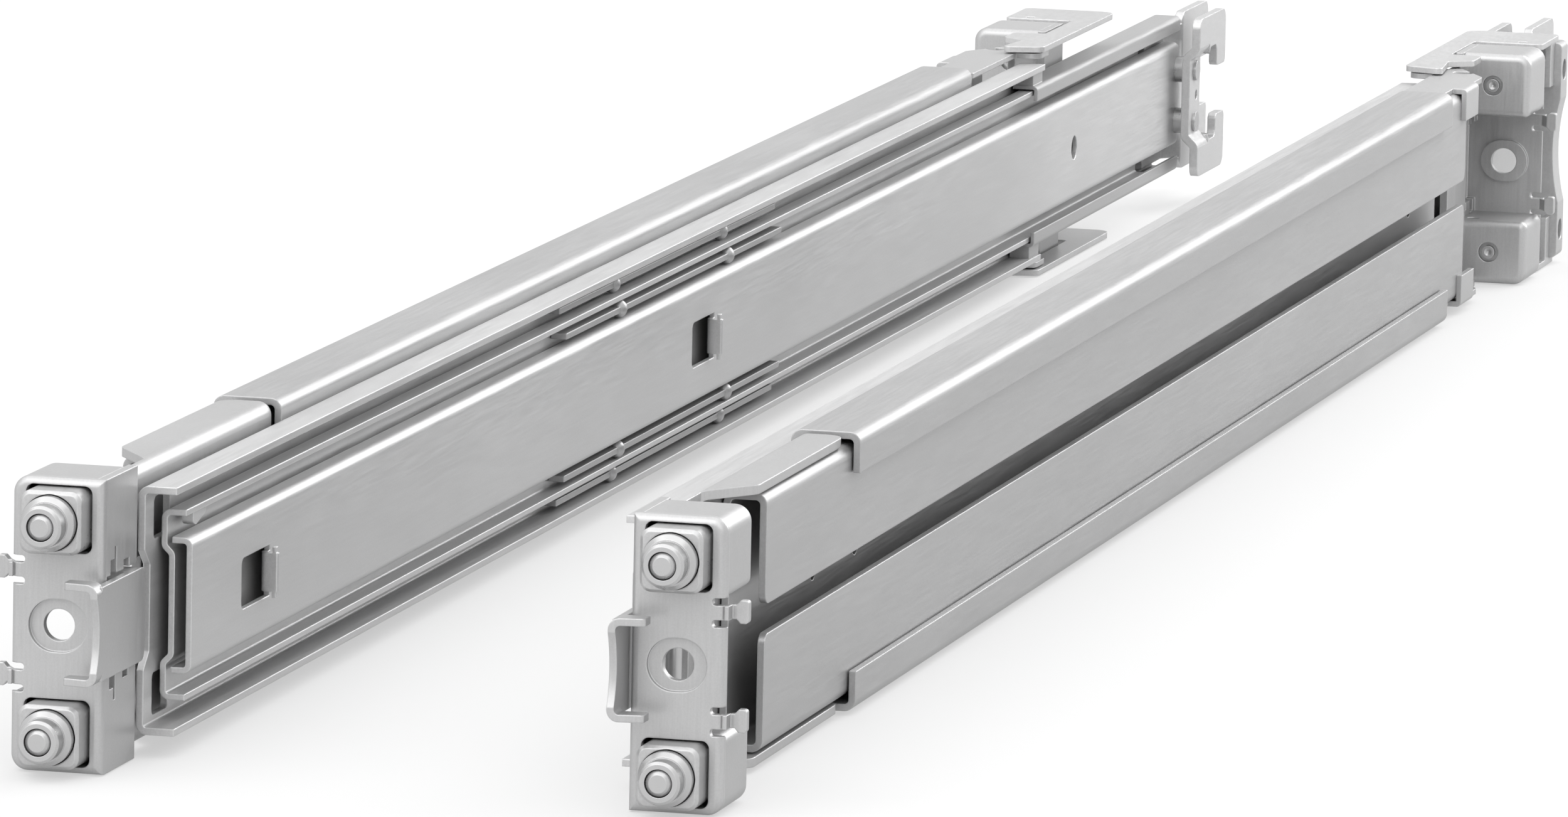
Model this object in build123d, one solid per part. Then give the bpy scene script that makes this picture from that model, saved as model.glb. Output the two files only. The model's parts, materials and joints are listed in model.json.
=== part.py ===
from build123d import *
import os
from math import radians, sin, tan

# A pair of ball-bearing slide rails that hang a chassis in a four-post rack.
# Each rail is drawn as the left one: u runs across it, inboard positive, from the axis of
# its studs; y runs back from the face that lies on the front post; z is up from mid height.
# The right rail is the mirror image.
# A size that ends in _offset is measured back from the face that lies on the rear post.

# Rack and stance
stud_pitch = 31.75
closed_depth = 609.6
rail_spacing = 93.84

# Clearances
slide_gap = 0.3
bore_gap = 0.05

# Post bracket: face plate, side flange and the windows for the studs
bracket_wall = 1.4
plate_outboard = -7.2
plate_inboard = 7.0
plate_half = 21.9
box_corner = 2.5
face_round = 1.2
flange_back = 16.0
flange_gap_half = 7.4
jog_length = 1.6
window_width = 10.2
window_height = 10.0
window_corner = 1.2
middle_hole = 4.8
recess_width = 9.0
recess_height = 7.9
recess_depth = 0.8
tab_height = 8.0
tab_neck = 2.1
tab_head = 3.4
tab_reach = 2.9
tab_head_length = 1.2
tab_flare = 0.6
tab_slot = 1.1
tab_slot_length = 2.1

# Stud housings
box_low = 9.9
box_back = 15.0
box_wall = 1.0
box_round = 1.4
tail_hole = 3.8

# Studs: a square block, a round sleeve and the fixed pin inside it
block_side = 9.4
block_front = -4.4
block_back = 4.6
block_corner = 1.7
block_edge = 0.5
block_shoulder = 0.6
block_web = 1.2
block_bore = 8.5
block_rear_bore = 7.0
sleeve_tip = -9.2
sleeve_back = 3.4
sleeve_diameter = 6.4
sleeve_bore = 4.2
collar_diameter = 8.2
collar_width = 1.9
collar_slope = 0.7
sleeve_edge = 0.4
pin_tip = -9.5
pin_edge = 0.6
pin_diameter = 3.9
pin_flange = 6.0
pin_flange_width = 1.4
pin_tail = 2.4
pin_proud = 0.2
pin_dimple = 1.4
pin_dimple_depth = 0.6

# Front latch
latch_wall = 1.1
latch_half = 7.6
latch_web_half = 7.0
latch_front = -7.5
latch_back = 15.8
prong_back = -3.9
prong_tip = 3.0
prong_taper = 0.8
rim_dip = 1.3
rim_half = 5.5
latch_axis_u = 3.6
latch_axis_y = 12.0
latch_pin_diameter = 2.4
latch_ear = 2.4

# Telescoping support: front arm, sleeve channel and the channel that slides in it
sheet_wall = 1.1
sheet_bend = 0.7
arm_half = 21.1
arm_outboard = -2.2
arm_flange_front = 28.0
arm_flange_full = 37.0
arm_back = 88.7
arm_corner = 3.0
arm_gap_back = 22.5
channel_half = arm_half + slide_gap
channel_front = 90.5
channel_back_offset = -73.6
channel_back = closed_depth + channel_back_offset
channel_lip_end = 15.2
tongue_front = 36.0
tongue_half = 15.0
support_front = 40.0
support_back_offset = -53.6
support_back = closed_depth + support_back_offset
band_outboard = -2.8
upper_band_end = 2.8
lower_band_end = -1.7
support_hole = 4.0
support_hole_z = 0.5
front_hole_set = 50.0
hole_step = 26.0
rear_hole_set = 24.0
band_corner = 1.8

# Rear bracket's straps and claws
strap_wall = 1.0
strap_front_offset = -72.6
strap_front = closed_depth + strap_front_offset
strap_inboard = 6.7
strap_hole = 4.0
strap_hole_u = 1.9
strap_hole_y_offset = -34.2
strap_hole_y = closed_depth + strap_hole_y_offset
rear_web_front_offset = -34.6
rear_web_front = closed_depth + rear_web_front_offset
claw_front_offset = -58.6
claw_front = closed_depth + claw_front_offset
claw_back_offset = -47.6
claw_back = closed_depth + claw_back_offset
claw_reach = 4.9
strap_inset = 1.6
ear_inboard = 11.4
ear_front_offset = -38.6
ear_front = closed_depth + ear_front_offset
ear_back_offset = -29.6
ear_back = closed_depth + ear_back_offset

# Rear release lever
wing_wall = 1.1
wing_front_offset = -41.1
wing_front = closed_depth + wing_front_offset
wing_inboard = 12.1
wing_back_offset = 21.4
wing_back = closed_depth + wing_back_offset
wing_outboard = -5.6
lever_axis_u = 8.5
lever_axis_y_offset = -34.1
lever_axis_y = closed_depth + lever_axis_y_offset
lever_pin = 3.0
cutout_u = 7.5
cutout_front_offset = -18.0
cutout_front = closed_depth + cutout_front_offset
cutout_back_offset = 4.2
cutout_back = closed_depth + cutout_back_offset
finger_tip = 1.5
finger_front_offset = -26.4
finger_front = closed_depth + finger_front_offset
finger_rise = 3.0
bar_front_offset = 16.8
bar_front = closed_depth + bar_front_offset
bar_back_offset = 22.4
bar_back = closed_depth + bar_back_offset
bar_outboard = -7.0
bar_inboard = -1.2
bar_dip = 1.25
bar_dip_half = 10.0
bar_hole = 4.0
bar_hole_z = 15.4
end_tab_low = 12.6
end_tab_front_offset = 12.9
end_tab_front = closed_depth + end_tab_front_offset
wing_slot = 1.6
wing_slot_u = -1.3
wing_slot_y_offset = 6.8
wing_slot_y = closed_depth + wing_slot_y_offset

# Slides
outer_half = 18.6
outer_tip = 12.6
outer_front = 17.5
outer_back_offset = -39.2
outer_back = closed_depth + outer_back_offset
outer_notch_half = 9.0
outer_notch_depth = 2.7
outer_opening_front = 4.2
outer_opening_length = 8.0
outer_opening_low = 10.0
outer_opening_high = 16.4
middle_wall = 0.9
middle_half = 14.3
middle_tip = 12.1
middle_front = 24.1
middle_back_offset = 54.4
middle_back = closed_depth + middle_back_offset
middle_jog_half = 7.4
middle_jog = 1.2
inner_wall = 0.9
inner_half = 10.2
inner_face = 13.2
inner_flange_end = 10.04
inner_front = 23.8
inner_back_offset = 73.4
inner_back = closed_depth + inner_back_offset
inner_hole = 4.6
inner_hole_y_offset = -16.0
inner_hole_y = closed_depth + inner_hole_y_offset
slide_bend = 0.5
lance_length = 14.7
lance_height = 7.8
lance_corner = 1.2
front_lance_y = 49.0
rear_lance_y = 311.0
tongue_projection = 2.0

# Ball cages
ball_diameter = 3.1
ball_count = 2
cage_front = 235.0
cage_length = 140.0
cage_wall = 1.0
cage_spine = 1.85
cage_lip = 0.8
ball_gap = 0.1
outer_ball_u = 9.95
inner_ball_u = 11.2

# Guide channel behind the outer slide, and the two hook plates
guide_wall = 0.7
guide_front_offset = -47.0
guide_front = closed_depth + guide_front_offset
guide_back_offset = 74.4
guide_back = closed_depth + guide_back_offset
guide_lip = 2.8
pad_front_offset = -46.6
pad_front = closed_depth + pad_front_offset
hook_half = 15.6
hook_wall = 1.6
hook_throat_half = 9.2
hook_finger_end = 4.8
hook_stem = 9.0
hook_slot = 6.5
hook_length = 23.0
guide_hook_front_offset = 78.4
guide_hook_front = closed_depth + guide_hook_front_offset
guide_hook_base_front_offset = 58.4
guide_hook_base_front = closed_depth + guide_hook_base_front_offset
guide_hook_inboard = 12.7
inner_hook_front_offset = 67.2
inner_hook_front = closed_depth + inner_hook_front_offset
standoff_diameter = 5.0
standoff_length = 2.1
standoff_z = 5.06
hook_jog = 1.9
rivet_shank = 2.6
rivet_head = 4.0
rivet_head_height = 0.6

# Places that follow from the sizes above
stud_z = stud_pitch / 2
arm_inboard = plate_inboard - bracket_wall
arm_web_outer = arm_inboard - bracket_wall
support_inboard = arm_web_outer - slide_gap
support_half = arm_half - bracket_wall - slide_gap
channel_inboard = arm_inboard + sheet_wall
channel_outboard = band_outboard - slide_gap - sheet_wall
outer_web_face = channel_inboard + sheet_wall
wing_low = support_half + strap_wall + slide_gap
guide_outboard = plate_inboard + slide_gap
guide_web_face = guide_outboard + guide_wall
middle_outboard = guide_web_face + slide_gap
guide_half = middle_half + slide_gap + guide_wall
guide_inboard = middle_tip + slide_gap + guide_wall
inner_web_outer = inner_face - inner_wall
hook_base_outer = inner_face + standoff_length
hook_base_face = hook_base_outer + hook_wall
hook_face = hook_base_face + hook_jog
cut_reach = 2 * stud_pitch
reach_front = -pin_tip
reach_back = guide_hook_front + hook_length
middle_of_length = (reach_back - reach_front) / 2


def box(u_range, y_range, z_range):
    """A plain block between two values of u, of y and of z."""
    sides = [high - low for low, high in (u_range, y_range, z_range)]
    centre = [(low + high) / 2 for low, high in (u_range, y_range, z_range)]
    return Pos(*centre) * Box(*sides)


def outline(*corners):
    """A closed flat outline, whose corners are (a, b) or (a, b, radius)."""
    points = [Vector(corner[0], corner[1]) for corner in corners]
    edges = []
    ends = []
    for index, corner in enumerate(corners):
        point = points[index]
        radius = corner[2] if len(corner) > 2 else 0
        if radius == 0:
            ends.append((point, point))
            continue
        back = (points[index - 1] - point).normalized()
        ahead = (points[(index + 1) % len(points)] - point).normalized()
        half_turn = radians(back.get_angle(ahead)) / 2
        reach = radius / tan(half_turn)
        middle = point + (back + ahead).normalized() * (radius / sin(half_turn) - radius)
        ends.append((point + back * reach, point + ahead * reach))
        edges.append(ThreePointArc(ends[-1][0], middle, ends[-1][1]))
    for index, (start, _) in enumerate(ends):
        previous = ends[index - 1][1]
        if (start - previous).length > 1e-6:
            edges.append(Line(previous, start))
    return Face(Wire(edges))


def bent_sheet(path, wall, bend):
    """The section of a bent sheet: path is one face, and the wall lies on its left."""
    steps = [(path[i + 1][0] - path[i][0], path[i + 1][1] - path[i][1]) for i in range(len(path) - 1)]
    normals = [(Vector(-step[1], step[0])).normalized() for step in steps]
    near = [(*path[0], 0)]
    far = [(path[0][0] + normals[0].X * wall, path[0][1] + normals[0].Y * wall, 0)]
    for index in range(1, len(path) - 1):
        before = normals[index - 1]
        after = normals[index]
        mitre = (before + after) * (wall / (1 + before.dot(after)))
        turns_left = before.cross(after).Z > 0
        near.append((*path[index], bend + wall if turns_left else bend))
        far.append((path[index][0] + mitre.X, path[index][1] + mitre.Y, bend if turns_left else bend + wall))
    near.append((*path[-1], 0))
    far.append((path[-1][0] + normals[-1].X * wall, path[-1][1] + normals[-1].Y * wall, 0))
    return outline(*near, *reversed(far))


def run_along_y(section, y_range):
    """A section in u and z, run from one y to another."""
    place = Plane(origin=(0, y_range[0], 0), x_dir=(1, 0, 0), z_dir=(0, -1, 0))
    return extrude(place * section, amount=y_range[1] - y_range[0], dir=(0, 1, 0))


def run_along_z(section, z_range):
    """A section in u and y, run from one height to another."""
    return extrude(Pos(0, 0, z_range[0]) * section, amount=z_range[1] - z_range[0], dir=(0, 0, 1))


def run_along_u(section, u_range):
    """A section in y and z, run from one u to another."""
    place = Plane(origin=(u_range[0], 0, 0), x_dir=(0, 1, 0), z_dir=(1, 0, 0))
    return extrude(place * section, amount=u_range[1] - u_range[0], dir=(1, 0, 0))


def rod_y(diameter, y_range, u=0, z=0):
    """A round bar that lies along y."""
    middle = (y_range[0] + y_range[1]) / 2
    return Pos(u, middle, z) * Rot(90, 0, 0) * Cylinder(diameter / 2, y_range[1] - y_range[0])


def rod_u(diameter, u_range, y=0, z=0):
    """A round bar that lies across the rail."""
    middle = (u_range[0] + u_range[1]) / 2
    return Pos(middle, y, z) * Rot(0, 90, 0) * Cylinder(diameter / 2, u_range[1] - u_range[0])


def rod_z(diameter, z_range, u=0, y=0):
    """A round bar that stands upright."""
    middle = (z_range[0] + z_range[1]) / 2
    return Pos(u, y, middle) * Cylinder(diameter / 2, z_range[1] - z_range[0])


def upside_down(shape):
    """The same piece on the lower half of the rail."""
    return mirror(shape, about=Plane.XY)


def at_rear(shape):
    """The same piece at the rear post, facing backward."""
    return mirror(shape, about=Plane((0, closed_depth / 2, 0), z_dir=(0, 1, 0)))


def face_tab():
    """The T-shaped tab beside the middle of the plate, set back behind its face."""
    low = tab_height - tab_neck / 2
    high = tab_height + tab_neck / 2
    back = bracket_wall + 2.0
    end = plate_outboard - tab_reach
    neck = outline((plate_outboard + 0.2, 0), (plate_outboard + 0.2, bracket_wall),
                   (plate_outboard - 1.1, back), (end, back), (end, back - bracket_wall),
                   (plate_outboard - 0.5, back - bracket_wall), (plate_outboard - 0.4, 0))
    foot = tab_height - tab_head / 2
    top = tab_height + tab_head / 2
    head = outline((end, foot, 0.5), (end + tab_head_length, foot), (end + tab_head_length + tab_flare, low),
                   (end + tab_head_length + tab_flare, high), (end + tab_head_length, top), (end, top, 0.5))
    return run_along_z(neck, (low, high)) + run_along_y(head, (back - bracket_wall, back))


def tab_slots():
    """The two slots that free a tab from the plate's edge."""
    slots = []
    for side in (-1, 1):
        middle = tab_height + side * (tab_neck + tab_slot) / 2
        slot = Pos(plate_outboard, middle) * SlotOverall(2 * tab_slot_length, tab_slot)
        slots.append(run_along_y(slot, (-0.1, bracket_wall + 0.1)))
    return slots


def flange_slits():
    """The slits in the side flange beside the latch."""
    inside = (arm_inboard - 0.1, plate_inboard + 0.1)
    notch = box(inside, (3.2, 6.2), (flange_gap_half - 0.1, flange_gap_half + 2.2))
    slit = box(inside, (5.2, 6.2), (flange_gap_half + 2.1, flange_gap_half + 4.0))
    tooth = box(inside, (9.6, 12.4), (flange_gap_half - 0.1, flange_gap_half + 1.4))
    return [notch, slit, tooth]


def post_plate():
    """The face plate and side flange that both post brackets share."""
    body = box((plate_outboard, plate_inboard), (0, flange_back), (-plate_half, plate_half))
    long_edges = body.edges().filter_by(Axis.Y).sort_by(Axis.X)[:2]
    body = fillet(long_edges, box_corner)
    body = fillet(body.faces().sort_by(Axis.Y)[0].outer_wire().edges(), face_round)
    body -= box((plate_outboard - 1, arm_inboard), (bracket_wall, cut_reach), (-cut_reach, cut_reach))
    body -= box((arm_inboard - 1, plate_inboard + 1), (bracket_wall, cut_reach),
                (-flange_gap_half, flange_gap_half))
    width = recess_width / 2 - recess_height / 2
    stadium = outline((-width - recess_height / 2, -recess_height / 2, recess_height / 2.01),
                      (width + recess_height / 2, -recess_height / 2, recess_height / 2.01),
                      (width + recess_height / 2, recess_height / 2, recess_height / 2.01),
                      (-width - recess_height / 2, recess_height / 2, recess_height / 2.01))
    body += run_along_y(stadium, (bracket_wall, bracket_wall + recess_depth))
    body -= run_along_y(stadium, (-0.1, recess_depth))
    body -= rod_y(middle_hole, (-1, cut_reach))
    window = Pos(0, stud_z) * RectangleRounded(window_width, window_height, window_corner)
    for flip in (lambda shape: shape, upside_down):
        body -= flip(run_along_y(window, (-1, bracket_wall + 1)))
        for cut in tab_slots() + flange_slits():
            body -= flip(cut)
        body += flip(face_tab())
    return body


def flange_jog(top):
    """The step that takes the side flange outboard to the arm's web."""
    step = outline((arm_inboard, flange_back), (plate_inboard, flange_back),
                   (arm_inboard, flange_back + jog_length), (arm_web_outer, flange_back + jog_length))
    upper = run_along_z(step, (flange_gap_half, top))
    return [upper, upside_down(upper)]


def front_bracket():
    """Face plate, side flange and the front arm, bent from one sheet."""
    start = flange_back + jog_length
    section = bent_sheet([(arm_outboard, -arm_half), (arm_inboard, -arm_half), (arm_inboard, arm_half),
                          (arm_outboard, arm_half)], bracket_wall, sheet_bend)
    arm = run_along_y(section, (start, arm_back))
    plan = outline((arm_inboard, start), (arm_inboard, arm_back), (arm_outboard, arm_back, arm_corner),
                   (arm_outboard, arm_flange_full, arm_corner), (arm_web_outer, arm_flange_front),
                   (arm_web_outer, start))
    arm &= run_along_z(plan, (-cut_reach, cut_reach))
    arm -= box((arm_web_outer - 1, arm_inboard + 1), (start - 1, arm_gap_back),
               (-flange_gap_half, flange_gap_half))
    bracket = post_plate() + arm
    for step in flange_jog(arm_half - bracket_wall):
        bracket += step
    return bracket


def rear_bracket():
    """Face plate, side flange, straps on the support channel, claws and pivot ears."""
    bracket = at_rear(post_plate())
    for step in flange_jog(support_half + strap_wall):
        bracket += at_rear(step)
    web_back = closed_depth - flange_back - jog_length
    web = box((arm_web_outer, arm_inboard), (rear_web_front, web_back),
              (-support_half - strap_wall, support_half + strap_wall))
    bracket += web
    plan = outline((band_outboard + strap_inset, strap_front, 3), (strap_inboard, strap_front, 1),
                   (strap_inboard, ear_front), (ear_inboard, ear_front, 2), (ear_inboard, ear_back, 2),
                   (arm_inboard, ear_back), (arm_inboard, web_back), (arm_web_outer, web_back),
                   (arm_web_outer, ear_back + 3, 1), (band_outboard, claw_back + 8, 2),
                   (band_outboard, claw_front), (band_outboard + strap_inset, claw_front))
    strap = run_along_z(plan, (support_half, support_half + strap_wall))
    strap -= rod_z(strap_hole, (0, cut_reach), strap_hole_u, strap_hole_y)
    strap -= rod_z(lever_pin + 2 * bore_gap, (0, cut_reach), lever_axis_u, lever_axis_y)
    claw = box((band_outboard - strap_wall, band_outboard), (claw_front, claw_back),
               (support_half - claw_reach, support_half + strap_wall))
    outer_edge = claw.edges().filter_by(Axis.Y).sort_by(Axis.X)[:2].sort_by(Axis.Z)[-1]
    strap += fillet(outer_edge, strap_wall * 0.9)
    return bracket + strap + upside_down(strap)


def housing():
    """One stud housing: a box open to the plate and to the side flange."""
    top = plate_half
    shell = run_along_y(outline((plate_outboard, box_low, box_round), (arm_inboard, box_low),
                                (arm_inboard, top), (plate_outboard, top, box_corner)),
                        (bracket_wall, box_back))
    back_edges = shell.faces().sort_by(Axis.Y)[-1].outer_wire().edges()
    shell = fillet([edge for edge in back_edges if edge.center().X < arm_inboard - 0.1], box_round)
    inside = outline((plate_outboard + box_wall, box_low + box_wall), (arm_inboard + 1, box_low + box_wall),
                     (arm_inboard + 1, top - box_wall), (plate_outboard + box_wall, top - box_wall, 1.5))
    shell -= run_along_y(inside, (bracket_wall - 1, box_back - box_wall))
    shell -= rod_y(tail_hole, (0, cut_reach), 0, stud_z)
    shell -= rod_z(latch_pin_diameter, (0, box_low + box_wall), latch_axis_u, latch_axis_y)
    return shell


def housings():
    """Both housings of a post bracket."""
    return [housing(), upside_down(housing())]


def stud_block():
    """The square block round a stud, which gives way in posts with round holes."""
    half = block_side / 2
    block = box((-half, half), (block_front, block_back), (-half, half))
    block = fillet(block.edges().filter_by(Axis.Y), block_corner)
    front_edges = block.faces().sort_by(Axis.Y)[0].outer_wire().edges()
    block = chamfer(front_edges, block_edge)
    shoulder = half + block_shoulder
    block += box((-shoulder, shoulder), (bracket_wall + slide_gap, block_back), (-half + 1, half - 1))
    block -= rod_y(block_bore, (block_front - 1, block_back - block_web))
    block -= rod_y(block_rear_bore, (block_front, block_back + 1))
    return Pos(0, 0, stud_z) * block


def stud_sleeve():
    """The round sleeve that steps down the stud to the post's hole."""
    radius = sleeve_diameter / 2
    collar = collar_diameter / 2
    back = block_front
    section = outline((sleeve_bore / 2, sleeve_tip), (radius - sleeve_edge, sleeve_tip),
                      (radius, sleeve_tip + sleeve_edge), (radius, back - collar_width),
                      (collar - collar_slope, back - collar_width),
                      (collar, back - collar_width + collar_slope), (collar, back), (radius, back),
                      (radius, sleeve_back), (sleeve_bore / 2, sleeve_back))
    return Pos(0, 0, stud_z) * revolve(section, Axis.Y)


def stud_pin():
    """The fixed pin on the stud's axis, with its blunt tip and its flanged, dimpled tail."""
    seat = box_back - box_wall
    radius = pin_diameter / 2
    tail_end = box_back + pin_proud
    section = outline((0, pin_tip), (radius - pin_edge, pin_tip), (radius, pin_tip + pin_edge),
                      (radius, seat - pin_flange_width), (pin_flange / 2, seat - pin_flange_width),
                      (pin_flange / 2, seat), (pin_tail / 2, seat), (pin_tail / 2, tail_end),
                      (pin_dimple / 2, tail_end), (0, tail_end - pin_dimple_depth))
    return Pos(0, 0, stud_z) * revolve(section, Axis.Y)


def stud_pins():
    """Both fixed pins of a post bracket."""
    return [stud_pin(), upside_down(stud_pin())]


def latch():
    """The sprung hook that grips the front post from the inboard side."""
    outer = plate_inboard + slide_gap + latch_wall
    inner = outer - latch_wall
    section = bent_sheet([(prong_tip, -latch_half), (outer, -latch_half), (outer, latch_half),
                          (prong_tip, latch_half)], latch_wall, sheet_bend)
    hook = run_along_y(section, (latch_front, prong_back))
    plan = outline((prong_tip, prong_back), (outer, prong_back), (outer, latch_front),
                   (inner, latch_front), (prong_tip, latch_front + prong_taper, 0.5))
    hook &= run_along_z(plan, (-cut_reach, cut_reach))
    rim_radius = (rim_half ** 2 + rim_dip ** 2) / (2 * rim_dip)
    hook -= rod_u(2 * rim_radius, (inner - 0.5, outer + 1), latch_front + rim_dip - rim_radius)
    web = outline((prong_back - 1, -latch_web_half), (latch_back, -latch_web_half, 1.5),
                  (latch_back, latch_web_half, 1.5), (prong_back - 1, latch_web_half))
    hook += run_along_u(web, (inner, outer))
    ear = outline((inner + 0.5, latch_axis_y - latch_ear), (inner + 0.5, latch_axis_y + latch_ear),
                  (latch_axis_u - latch_ear, latch_axis_y + latch_ear, latch_ear * 0.98),
                  (latch_axis_u - latch_ear, latch_axis_y - latch_ear, latch_ear * 0.98))
    for flip in (lambda shape: shape, upside_down):
        hook += flip(run_along_z(ear, (latch_web_half - latch_wall, latch_web_half)))
    pin_bore = latch_pin_diameter + 2 * bore_gap
    return hook - rod_z(pin_bore, (-cut_reach, cut_reach), latch_axis_u, latch_axis_y)


def latch_pin():
    """The latch's hinge pin, held in the facing walls of the two housings."""
    end = box_low + box_wall
    return rod_z(latch_pin_diameter, (-end, end), latch_axis_u, latch_axis_y)


def sleeve_channel():
    """The lipped channel that the support channel telescopes in."""
    section = bent_sheet([(channel_outboard, -channel_lip_end), (channel_outboard, -channel_half),
                          (channel_inboard, -channel_half), (channel_inboard, channel_half),
                          (channel_outboard, channel_half), (channel_outboard, channel_lip_end)],
                         sheet_wall, sheet_bend)
    channel = run_along_y(section, (channel_front, channel_back))
    return channel + box((arm_inboard, channel_inboard), (tongue_front, channel_front + 1),
                         (-tongue_half, tongue_half))


def support_channel():
    """The channel that slides back with the rear bracket, open between its two bands."""
    section = bent_sheet([(band_outboard, lower_band_end), (band_outboard, -support_half),
                          (support_inboard, -support_half), (support_inboard, support_half),
                          (band_outboard, support_half), (band_outboard, upper_band_end)],
                         sheet_wall, sheet_bend)
    channel = run_along_y(section, (support_front, support_back))
    first = support_front + front_hole_set
    for place in (first, first + hole_step, support_back - rear_hole_set):
        channel -= rod_u(support_hole, (0, support_inboard + 1), place, support_hole_z)
    across = channel.edges().filter_by(Axis.X)
    across = across.filter_by_position(Axis.Z, lower_band_end - 0.1, upper_band_end + 0.1)
    band_ends = across.filter_by_position(Axis.X, band_outboard, band_outboard + sheet_wall)
    return fillet(band_ends, band_corner)


def outer_member():
    """The fixed outer slide, notched in front for the latch."""
    section = bent_sheet([(outer_tip, outer_half), (channel_inboard, outer_half),
                          (channel_inboard, -outer_half), (outer_tip, -outer_half)], sheet_wall, slide_bend)
    member = run_along_y(section, (outer_front, outer_back))
    across = (channel_inboard - 1, outer_web_face + 0.5)
    back = outer_front + outer_notch_depth
    notch = outline((outer_front - 1, -outer_notch_half), (outer_front, -outer_notch_half),
                    (back, -outer_notch_half + 2.5), (back, outer_notch_half - 2.5),
                    (outer_front, outer_notch_half), (outer_front - 1, outer_notch_half))
    member -= run_along_u(notch, across)
    start = outer_front + outer_opening_front
    end = start + outer_opening_length
    opening = outline((start, outer_opening_low, 1), (end, outer_opening_low, 1),
                      (end, outer_opening_high, 1), (start, outer_opening_high, 1))
    for flip in (lambda shape: shape, upside_down):
        member -= flip(run_along_u(opening, across))
    return member


def middle_member():
    """The middle slide, whose web steps inboard to pass the latch."""
    inboard = middle_outboard + middle_jog
    jog_end = middle_jog_half + middle_jog
    path = [(middle_tip, middle_half), (middle_outboard, middle_half), (middle_outboard, jog_end),
            (inboard, middle_jog_half), (inboard, -middle_jog_half), (middle_outboard, -jog_end),
            (middle_outboard, -middle_half), (middle_tip, -middle_half)]
    member = run_along_y(bent_sheet(path, middle_wall, slide_bend), (middle_front, middle_back))
    under = middle_half - middle_wall
    stop = outline((middle_front + 5, under), (middle_front + 11, under),
                   (middle_front + 11, under - 0.9, 0.4), (middle_front + 6.2, under - 2.2, 0.5),
                   (middle_front + 5, under - 1.8, 0.5))
    return member + run_along_u(stop, (middle_tip - 2.2, middle_tip - 0.4))


def lance(start, middle_z):
    """A window in the inner slide and the tongue turned out of it, as (window, tongue)."""
    half = lance_height / 2
    end = start + lance_length
    shape = outline((start, middle_z - half, lance_corner), (end, middle_z - half),
                    (end, middle_z + half), (start, middle_z + half, lance_corner))
    window = run_along_u(shape, (inner_web_outer - 1, inner_face + 1))
    lip = inner_face + tongue_projection
    front = end - 2.4
    section = outline((inner_web_outer, end + 0.5), (inner_web_outer, front, 1.4), (lip, front, 0.3),
                      (lip, front + inner_wall, 0.3), (inner_face, front + inner_wall, 0.5),
                      (inner_face, end + 0.5))
    tongue = run_along_z(section, (middle_z - half + 0.9, middle_z + half - 0.9))
    tongue += box((lip - 0.9, lip - 0.3), (front, front + inner_wall), (middle_z - half, middle_z + half))
    return window, tongue


def inner_member():
    """The inner slide, which carries the chassis on its two lanced tongues."""
    section = bent_sheet([(inner_flange_end, -inner_half), (inner_face, -inner_half),
                          (inner_face, inner_half), (inner_flange_end, inner_half)], inner_wall, slide_bend)
    member = run_along_y(section, (inner_front, inner_back))
    for start, middle_z in ((front_lance_y, -0.6), (rear_lance_y, 0)):
        window, tongue = lance(start, middle_z)
        member = member - window + tongue
    return member - rod_u(inner_hole, (inner_web_outer - 1, inner_face + 1), inner_hole_y)


def cage(ball_u, gap_low, gap_high):
    """A pair of ball cages with their balls, between two slides' flanges."""
    middle_z = (gap_low + gap_high) / 2
    cage_back = cage_front + cage_length
    strip = box((ball_u - cage_spine, ball_u + cage_lip), (cage_front, cage_back),
                (middle_z - cage_wall / 2, middle_z + cage_wall / 2))
    pieces = []
    for index in range(ball_count):
        place = cage_front + cage_length * (index + 0.5) / ball_count
        strip -= rod_z(ball_diameter + 2 * ball_gap, (0, cut_reach), ball_u, place)
        pieces.append(Pos(ball_u, place, middle_z) * Sphere(ball_diameter / 2))
    pieces.append(strip)
    return pieces + [upside_down(piece) for piece in pieces]


def outer_cage():
    """The cages between the outer and the middle slide."""
    return cage(outer_ball_u, middle_half, outer_half - sheet_wall)


def inner_cage():
    """The cages between the middle and the inner slide."""
    return cage(inner_ball_u, inner_half, middle_half - middle_wall)


def guide_channel():
    """The lipped channel that guides the middle slide behind the outer one."""
    lip_end = guide_half - guide_lip
    section = bent_sheet([(guide_inboard, lip_end), (guide_inboard, guide_half),
                          (guide_outboard, guide_half), (guide_outboard, -guide_half),
                          (guide_inboard, -guide_half), (guide_inboard, -lip_end)],
                         guide_wall, slide_bend / 2)
    channel = run_along_y(section, (guide_front, guide_back))
    channel -= box((guide_outboard - 1, outer_web_face + 0.5), (guide_front - 1, outer_back + 0.2),
                   (-cut_reach, cut_reach))
    pad = box((outer_web_face + 0.5, middle_tip), (pad_front, outer_back),
              (guide_half, outer_half - sheet_wall))
    return channel + pad + upside_down(pad)


def hook_outline(front):
    """Two hooks that face each other on one plate, in y and z."""
    slot_front = front + hook_stem
    slot_back = slot_front + hook_slot
    back = front + hook_length
    return outline((front, -hook_half, 2), (back, -hook_half, 2.5), (back, -hook_finger_end, 1.2),
                   (slot_back, -hook_finger_end, 1.2), (slot_back, -hook_throat_half, 1.5),
                   (slot_front, -hook_throat_half, 1.5), (slot_front, hook_throat_half, 1.5),
                   (slot_back, hook_throat_half, 1.5), (slot_back, hook_finger_end, 1.2),
                   (back, hook_finger_end, 1.2), (back, hook_half, 2.5), (front, hook_half, 2))


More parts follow.
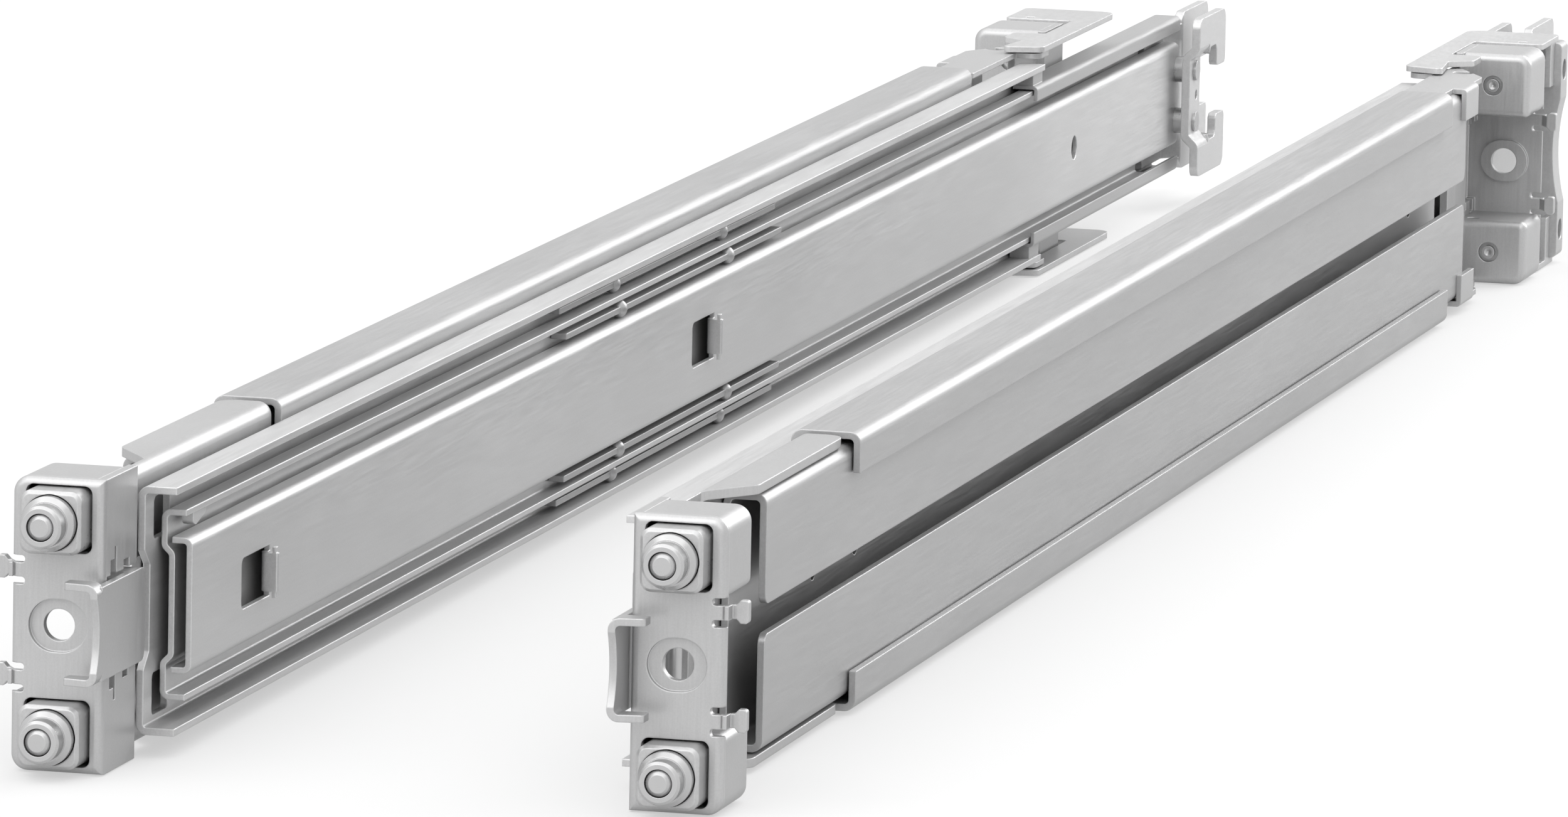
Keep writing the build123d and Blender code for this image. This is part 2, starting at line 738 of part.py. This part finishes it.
def guide_hook():
    """The hook plate on the guide channel, for a cable arm's outer end."""
    base_face = guide_web_face + hook_wall
    base_half = guide_half - guide_wall - slide_gap
    sheet = bent_sheet([(base_face, guide_hook_base_front), (base_face, guide_back + 0.5),
                        (guide_hook_inboard, guide_hook_front), (guide_hook_inboard, reach_back)],
                       hook_wall, sheet_bend)
    plate = run_along_z(sheet, (-hook_half, hook_half))
    shape = run_along_u(hook_outline(guide_hook_front), (0, cut_reach))
    shape += box((0, cut_reach), (guide_hook_base_front, guide_hook_front + hook_stem - 1),
                 (-base_half + 1, base_half - 1))
    return plate & shape


def inner_hook():
    """The hook plate on the inner slide, stepped outboard where its rivets sit."""
    back = inner_hook_front + hook_stem
    step = hook_throat_half + 0.6
    shape = run_along_u(hook_outline(inner_hook_front), (hook_face - hook_wall, hook_face))
    shape -= box((0, cut_reach), (inner_hook_front - 1, back + 0.01), (-step, step))
    sheet = bent_sheet([(hook_face, -step - 1), (hook_face, -step + 0.6), (hook_base_face, -step + 2.4),
                        (hook_base_face, step - 2.4), (hook_face, step - 0.6), (hook_face, step + 1)],
                       hook_wall, 0.5)
    shape += run_along_y(sheet, (inner_hook_front, back))
    middle = inner_hook_front + hook_stem / 2
    for side in (-1, 1):
        shape -= rod_u(rivet_shank, (0, cut_reach), middle, side * standoff_z)
    return shape - rod_u(2.0, (0, cut_reach), middle + 1.5, 0)


def hook_standoffs():
    """The two riveted standoffs that hold the hook plate off the inner slide."""
    middle = inner_hook_front + hook_stem / 2
    pieces = []
    for side in (-1, 1):
        place = {"y": middle, "z": side * standoff_z}
        rivet = rod_u(standoff_diameter, (inner_face, hook_base_outer), **place)
        rivet += rod_u(rivet_shank, (hook_base_outer, hook_base_face), **place)
        rivet += rod_u(rivet_head, (hook_base_face, hook_base_face + rivet_head_height), **place)
        pieces.append(rivet)
    return pieces


def lever_wing():
    """One wing of the release lever, with its pivot pin and end tab."""
    plan = outline((4.6, wing_front, 1), (wing_inboard, wing_front + 2.4, 1.5),
                   (wing_inboard, wing_back, 3), (wing_outboard, wing_back, 1.5),
                   (wing_outboard, cutout_back, 1), (cutout_u, cutout_back, 1),
                   (cutout_u, cutout_front, 0.8), (finger_tip, cutout_front - 0.6, 1.5),
                   (finger_tip, finger_front, 1.5), (5.8, finger_front - finger_rise, 0.8))
    wing = run_along_z(plan, (wing_low, wing_low + wing_wall))
    slot_side = wing_slot / 2
    wing -= box((wing_slot_u - slot_side, wing_slot_u + slot_side),
                (wing_slot_y - slot_side, wing_slot_y + slot_side), (0, cut_reach))
    wing += rod_z(lever_pin, (support_half, wing_low + 0.1), lever_axis_u, lever_axis_y)
    tab = box((wing_outboard, wing_outboard + wing_wall), (end_tab_front, bar_front),
              (end_tab_low, wing_low + 0.1))
    return wing + tab


def lever_wings():
    """Both wings of the release lever."""
    return [lever_wing(), upside_down(lever_wing())]


def lever_bar():
    """The bar that joins the wings and locks behind the rear post."""
    radius = (bar_dip_half ** 2 + bar_dip ** 2) / (2 * bar_dip)
    bar = box((bar_outboard, bar_inboard), (bar_front, bar_back), (-wing_low, wing_low))
    bar = fillet(bar.edges().filter_by(Axis.Y), 1.2)
    bar -= rod_y(2 * radius, (bar_front - 1, bar_back + 1), bar_outboard + bar_dip - radius)
    middle = (bar_front + bar_back) / 2
    for side in (-1, 1):
        bar -= rod_u(bar_hole, (bar_outboard - 1, bar_inboard + 1), middle, side * bar_hole_z)
    return bar


def rail_parts():
    """Every piece of one rail, by the name of its node."""
    block = stud_block()
    sleeve = stud_sleeve()
    return {
        "front_bracket": front_bracket(), "front_housings": housings(), "front_pins": stud_pins(),
        "front_block_upper": block, "front_block_lower": upside_down(block),
        "front_sleeve_upper": sleeve, "front_sleeve_lower": upside_down(sleeve),
        "front_latch": latch(), "front_latch_pin": latch_pin(),
        "sleeve_channel": sleeve_channel(), "outer_member": outer_member(),
        "guide_channel": guide_channel(), "guide_hook": guide_hook(),
        "support_channel": support_channel(), "rear_bracket": rear_bracket(),
        "rear_housings": [at_rear(piece) for piece in housings()],
        "rear_pins": [at_rear(piece) for piece in stud_pins()],
        "rear_block_upper": at_rear(block), "rear_block_lower": at_rear(upside_down(block)),
        "rear_sleeve_upper": at_rear(sleeve), "rear_sleeve_lower": at_rear(upside_down(sleeve)),
        "rear_lever_wings": lever_wings(), "rear_lever_bar": lever_bar(),
        "middle_member": middle_member(), "inner_member": inner_member(),
        "inner_hook": inner_hook(), "hook_standoffs": hook_standoffs(),
        "outer_cage": outer_cage(), "inner_cage": inner_cage(),
    }


def place(shape, side):
    """A piece of the left (-1) or the right (+1) rail, where it stands."""
    if side > 0:
        shape = mirror(shape, about=Plane.YZ)
    return Pos(side * rail_spacing / 2, -middle_of_length, plate_half) * shape


os.makedirs("parts", exist_ok=True)
for name, piece in rail_parts().items():
    solids = piece if isinstance(piece, list) else [piece]
    for side, hand in ((-1, "left"), (1, "right")):
        placed = [place(solid, side) for solid in solids]
        whole = placed[0] if len(placed) == 1 else Compound(children=placed)
        export_step(whole, f"parts/{name}_{hand}.step")
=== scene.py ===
import json
from math import cos, radians, sin

import bpy
from mathutils import Matrix, Vector

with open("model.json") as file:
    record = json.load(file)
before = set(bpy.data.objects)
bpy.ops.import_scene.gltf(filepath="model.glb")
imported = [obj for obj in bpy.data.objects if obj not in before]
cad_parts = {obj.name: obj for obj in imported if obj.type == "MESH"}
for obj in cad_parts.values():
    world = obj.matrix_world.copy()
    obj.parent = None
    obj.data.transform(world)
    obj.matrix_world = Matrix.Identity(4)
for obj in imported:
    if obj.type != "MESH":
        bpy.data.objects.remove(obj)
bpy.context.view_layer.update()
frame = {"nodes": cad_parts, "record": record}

MM = 0.001
WHITE = (1, 1, 1, 1)

# Camera: the photograph's viewing angle, in a frame of 2500 x 1302
AZIMUTH = radians(14.355)
ELEVATION = radians(8.527)
ROLL = radians(1.169)
CAMERA_PLACE = Vector((0.5141, -2.11665, 0.3336))
LENS = 294.1
SENSOR = 36.0
CLIP_NEAR = 0.05
CLIP_FAR = 100

# The surroundings and the floor: light that they give, and white that is only seen
SKY_LIGHT = 0.85
SKY_SEEN = 1.0
FLOOR_TONE = 0.34
FLOOR_GLOW = 0.5
FLOOR_ROUGHNESS = 0.9
FLOOR_SHINE = 0.1
FLOOR_HALF = 30.0
FLOOR_DROP = 0.2 * MM

# Lamps: power in watts, everything else in metres
RAILS = (0, 0, 0)
REAR_PLATES = (0.02, 0.25, 0.02)
LAMPS = {
    "overhead": dict(place=(-0.1, -0.1, 1.5), target=RAILS, size=(2.4, 2.4), power=13),
    "front_left": dict(place=(-1.0, -1.7, 1.5), target=RAILS, size=(2.2, 2.2), power=18),
    "front_right": dict(place=(0.6, -1.8, 1.4), target=RAILS, size=(2.0, 2.0), power=10),
    "rear_right": dict(place=(0.5, 0.85, 0.5), target=REAR_PLATES, size=(0.7, 0.7), power=7),
}

# What every metal shares: how it mirrors, how its tone varies and the painted highlight,
# partly wear, that lightens its edges
MIRROR_TINT = (0.55, 0.55, 0.55, 1)
MIRROR_LEVEL = 0.25
NOISE_ROUGHNESS = 0.55
CLOUD_STRETCH = (1, 0.25, 1)
CLOUD_SCALE = 45
CLOUD_ROUGHNESS = 0.03
FINE_SCALE = 3800
FINE_SHARE = 0.8
GRAIN_ROUGHNESS = 0.05
GRAIN_RELIEF = 0.35
# Painted highlight along the edges, partly standing for wear: how much it lightens the
# colour where the normals part most, and the dot product of the rounded and flat normals
# over which it fades out
EDGE_HIGHLIGHT_AND_WEAR = 0.4
EDGE_HIGHLIGHT_AND_WEAR_FROM = 0.75
EDGE_HIGHLIGHT_AND_WEAR_TO = 0.99
EDGE_SAMPLES = 6

# Directions of the grain: a small number draws it out along that axis
ALONG = (1, 0.03, 1)
ALONG_SHORT = (1, 0.3, 1)
UPRIGHT = (1, 1, 0.05)
EVEN = (1, 1, 1)

# One finish for each material slot of the record
FINISHES = {
    "zinc_plate": dict(colour=(0.52, 0.52, 0.522), roughness=0.36, grain=UPRIGHT),
    # channel_steel is set darker and slide_steel lighter, though both are the same steel:
    # painted shade on the right rail's outboard faces, and painted light on the left rail's
    # inner slide where the right rail shades it
    "channel_steel": dict(colour=(0.47, 0.47, 0.472), roughness=0.38),
    "slide_steel": dict(colour=(0.62, 0.62, 0.622), roughness=0.40, grain_depth=0.025),
    "hook_plate": dict(colour=(0.60, 0.60, 0.602), roughness=0.36,
                       grain=ALONG_SHORT, grain_scale=2000),
    "cast_zinc": dict(colour=(0.54, 0.54, 0.542), roughness=0.34,
                      grain=EVEN, grain_scale=1500, grain_depth=0.01),
    "turned_steel": dict(colour=(0.52, 0.52, 0.522), roughness=0.31, metallic=0.75,
                         grain=EVEN, grain_scale=900, grain_depth=0.001,
                         speckle=0.008, edge=0.15),
    # ball_cage_steel is set darker than the steel around it: painted shade, so that the
    # cages blend with the shade in the grooves between the slides
    "ball_cage_steel": dict(colour=(0.45, 0.45, 0.452), roughness=0.4),
}


def node(tree, kind, **values):
    """Adds a shader node and sets its properties and plain inputs."""
    made = tree.nodes.new(kind)
    for key, value in values.items():
        if key in made.inputs:
            made.inputs[key].default_value = value
        else:
            setattr(made, key, value)
    return made


def combine(tree, operation, first, second, **values):
    """Joins two values by one step of arithmetic."""
    made = node(tree, "ShaderNodeMath", operation=operation, **values)
    tree.links.new(first, made.inputs[0])
    tree.links.new(second, made.inputs[1])
    return made.outputs[0]


def noise(tree, stretch, scale, detail):
    """Object-space noise, whose scale is in features per metre across the stretch."""
    place = node(tree, "ShaderNodeTexCoord")
    mapping = node(tree, "ShaderNodeMapping", Scale=stretch)
    tree.links.new(place.outputs["Object"], mapping.inputs["Vector"])
    made = node(tree, "ShaderNodeTexNoise",
                Scale=scale, Detail=detail, Roughness=NOISE_ROUGHNESS)
    tree.links.new(mapping.outputs["Vector"], made.inputs["Vector"])
    return made.outputs["Fac"]


def ramp(tree, source, low, high, from_low=0.3, from_high=0.7):
    """Maps a value onto the range from low to high. Noise mostly lies from 0.3 to 0.7."""
    made = node(tree, "ShaderNodeMapRange")
    made.inputs["From Min"].default_value = from_low
    made.inputs["From Max"].default_value = from_high
    made.inputs["To Min"].default_value = low
    made.inputs["To Max"].default_value = high
    tree.links.new(source, made.inputs["Value"])
    return made.outputs["Result"]


def edge_highlight_and_wear(tree, soft):
    """Painted highlight, partly standing for edge wear: extra light in the colour where the
    rounded normal leaves the flat one.
    """
    flat = node(tree, "ShaderNodeNewGeometry")
    meet = node(tree, "ShaderNodeVectorMath", operation="DOT_PRODUCT")
    tree.links.new(soft.outputs["Normal"], meet.inputs[0])
    tree.links.new(flat.outputs["Normal"], meet.inputs[1])
    return ramp(tree, meet.outputs["Value"], EDGE_HIGHLIGHT_AND_WEAR, 0.0, EDGE_HIGHLIGHT_AND_WEAR_FROM, EDGE_HIGHLIGHT_AND_WEAR_TO)


def metal(name, colour, roughness, metallic=0.6, grain=ALONG, grain_scale=2600,
          grain_depth=0.02, speckle=0.035, edge=0.3):
    """Plated or bare metal: grain, faint clouds, a painted highlight along the edges that
    also stands for wear, and softened corners.

    grain_depth and edge, the radius of a softened corner, are in millimetres.
    """
    made = bpy.data.materials.new(name)
    made.use_nodes = True
    tree = made.node_tree
    shader = tree.nodes["Principled BSDF"]
    shader.inputs["Metallic"].default_value = metallic
    shader.inputs["Specular Tint"].default_value = MIRROR_TINT
    shader.inputs["Specular IOR Level"].default_value = MIRROR_LEVEL
    cloud = noise(tree, CLOUD_STRETCH, CLOUD_SCALE, 3)
    lines = noise(tree, grain, grain_scale, 2)
    fine = noise(tree, EVEN, FINE_SCALE, 1)
    soft = node(tree, "ShaderNodeBevel", samples=EDGE_SAMPLES, Radius=edge * MM)

    # Brightness: clouds and grain, then fine speckle, then the painted edge highlight,
    # partly wear
    fine_speckle = speckle * FINE_SHARE
    tone = combine(tree, "ADD", ramp(tree, cloud, -speckle, speckle),
                   ramp(tree, lines, 1 - speckle, 1 + speckle))
    shade = combine(tree, "ADD", tone, ramp(tree, fine, -fine_speckle, fine_speckle))
    bright = combine(tree, "ADD", shade, edge_highlight_and_wear(tree, soft))
    tint = node(tree, "ShaderNodeVectorMath", operation="SCALE")
    tint.inputs[0].default_value = colour
    tree.links.new(bright, tint.inputs["Scale"])
    tree.links.new(tint.outputs["Vector"], shader.inputs["Base Color"])

    rough = combine(
        tree, "ADD",
        ramp(tree, lines, roughness - GRAIN_ROUGHNESS, roughness + GRAIN_ROUGHNESS),
        ramp(tree, cloud, -CLOUD_ROUGHNESS, CLOUD_ROUGHNESS),
        use_clamp=True)
    tree.links.new(rough, shader.inputs["Roughness"])

    bump = node(tree, "ShaderNodeBump", Strength=GRAIN_RELIEF, Distance=grain_depth * MM)
    tree.links.new(lines, bump.inputs["Height"])
    tree.links.new(soft.outputs["Normal"], bump.inputs["Normal"])
    tree.links.new(bump.outputs["Normal"], shader.inputs["Normal"])
    return made


def dress(slots):
    """Gives every CAD node its slot's finish."""
    wanted = {part["node"]: part["material_slot"] for part in frame["record"]["subparts"]}
    for name, piece in frame["nodes"].items():
        for holder in piece.material_slots:
            holder.material = slots[wanted[name]]


def seen_rays(tree):
    """One for rays of the camera, reflection and transmission, nought for diffuse light."""
    rays = node(tree, "ShaderNodeLightPath").outputs
    seen = combine(tree, "MAXIMUM", rays["Is Camera Ray"], rays["Is Glossy Ray"])
    return combine(tree, "MAXIMUM", seen, rays["Is Transmission Ray"])


def floor_material():
    """The plain pale floor, part of whose white is only seen and lights nothing."""
    made = bpy.data.materials.new("floor")
    made.use_nodes = True
    tree = made.node_tree
    shader = tree.nodes["Principled BSDF"]
    shader.inputs["Base Color"].default_value = (FLOOR_TONE, FLOOR_TONE, FLOOR_TONE, 1)
    shader.inputs["Emission Color"].default_value = WHITE
    glow = ramp(tree, seen_rays(tree), 0, FLOOR_GLOW, 0, 1)
    tree.links.new(glow, shader.inputs["Emission Strength"])
    shader.inputs["Roughness"].default_value = FLOOR_ROUGHNESS
    shader.inputs["Specular IOR Level"].default_value = FLOOR_SHINE
    return made


def build_stage():
    """A large pale floor under the rails."""
    half = FLOOR_HALF
    corners = [(-half, -half, 0), (half, -half, 0), (half, half, 0), (-half, half, 0)]
    mesh = bpy.data.meshes.new("floor")
    mesh.from_pydata(corners, [], [(0, 1, 2, 3)])
    floor = bpy.data.objects.new("floor", mesh)
    floor.location.z = -FLOOR_DROP
    mesh.materials.append(floor_material())
    bpy.context.scene.collection.objects.link(floor)


def build_world():
    """A soft surrounding that shows white to the camera and in reflections."""
    world = bpy.data.worlds.new("studio")
    bpy.context.scene.world = world
    world.use_nodes = True
    tree = world.node_tree
    tree.nodes.clear()
    out = node(tree, "ShaderNodeOutputWorld")
    light = node(tree, "ShaderNodeBackground", Color=WHITE, Strength=SKY_LIGHT)
    white = node(tree, "ShaderNodeBackground", Color=WHITE, Strength=SKY_SEEN)
    mix = node(tree, "ShaderNodeMixShader")
    tree.links.new(seen_rays(tree), mix.inputs["Fac"])
    tree.links.new(light.outputs[0], mix.inputs[1])
    tree.links.new(white.outputs[0], mix.inputs[2])
    tree.links.new(mix.outputs[0], out.inputs["Surface"])


def build_lamp(name, place, target, size, power):
    """A soft area lamp that faces a point."""
    data = bpy.data.lights.new(name, "AREA")
    data.shape = "RECTANGLE"
    data.size, data.size_y = size
    data.energy = power
    made = bpy.data.objects.new(name, data)
    made.location = place
    made.rotation_mode = "QUATERNION"
    made.rotation_quaternion = (Vector(target) - Vector(place)).to_track_quat("-Z", "Y")
    bpy.context.scene.collection.objects.link(made)


def build_camera():
    """The photograph's view."""
    look = Vector((-sin(AZIMUTH) * cos(ELEVATION), cos(AZIMUTH) * cos(ELEVATION),
                   -sin(ELEVATION)))
    level_right = Vector((cos(AZIMUTH), sin(AZIMUTH), 0))
    level_up = level_right.cross(look)
    right = level_right * cos(ROLL) + level_up * sin(ROLL)
    up = level_up * cos(ROLL) - level_right * sin(ROLL)
    data = bpy.data.cameras.new("camera")
    data.lens = LENS
    data.sensor_width = SENSOR
    data.clip_start = CLIP_NEAR
    data.clip_end = CLIP_FAR
    made = bpy.data.objects.new("camera", data)
    made.rotation_mode = "QUATERNION"
    made.rotation_quaternion = Matrix((right, up, -look)).transposed().to_quaternion()
    made.location = CAMERA_PLACE
    bpy.context.scene.collection.objects.link(made)
    bpy.context.scene.camera = made


bpy.context.scene.view_settings.view_transform = "Standard"
dress({name: metal(name, **look) for name, look in FINISHES.items()})
build_stage()
build_world()
for lamp_name, lamp in LAMPS.items():
    build_lamp(lamp_name, **lamp)
build_camera()
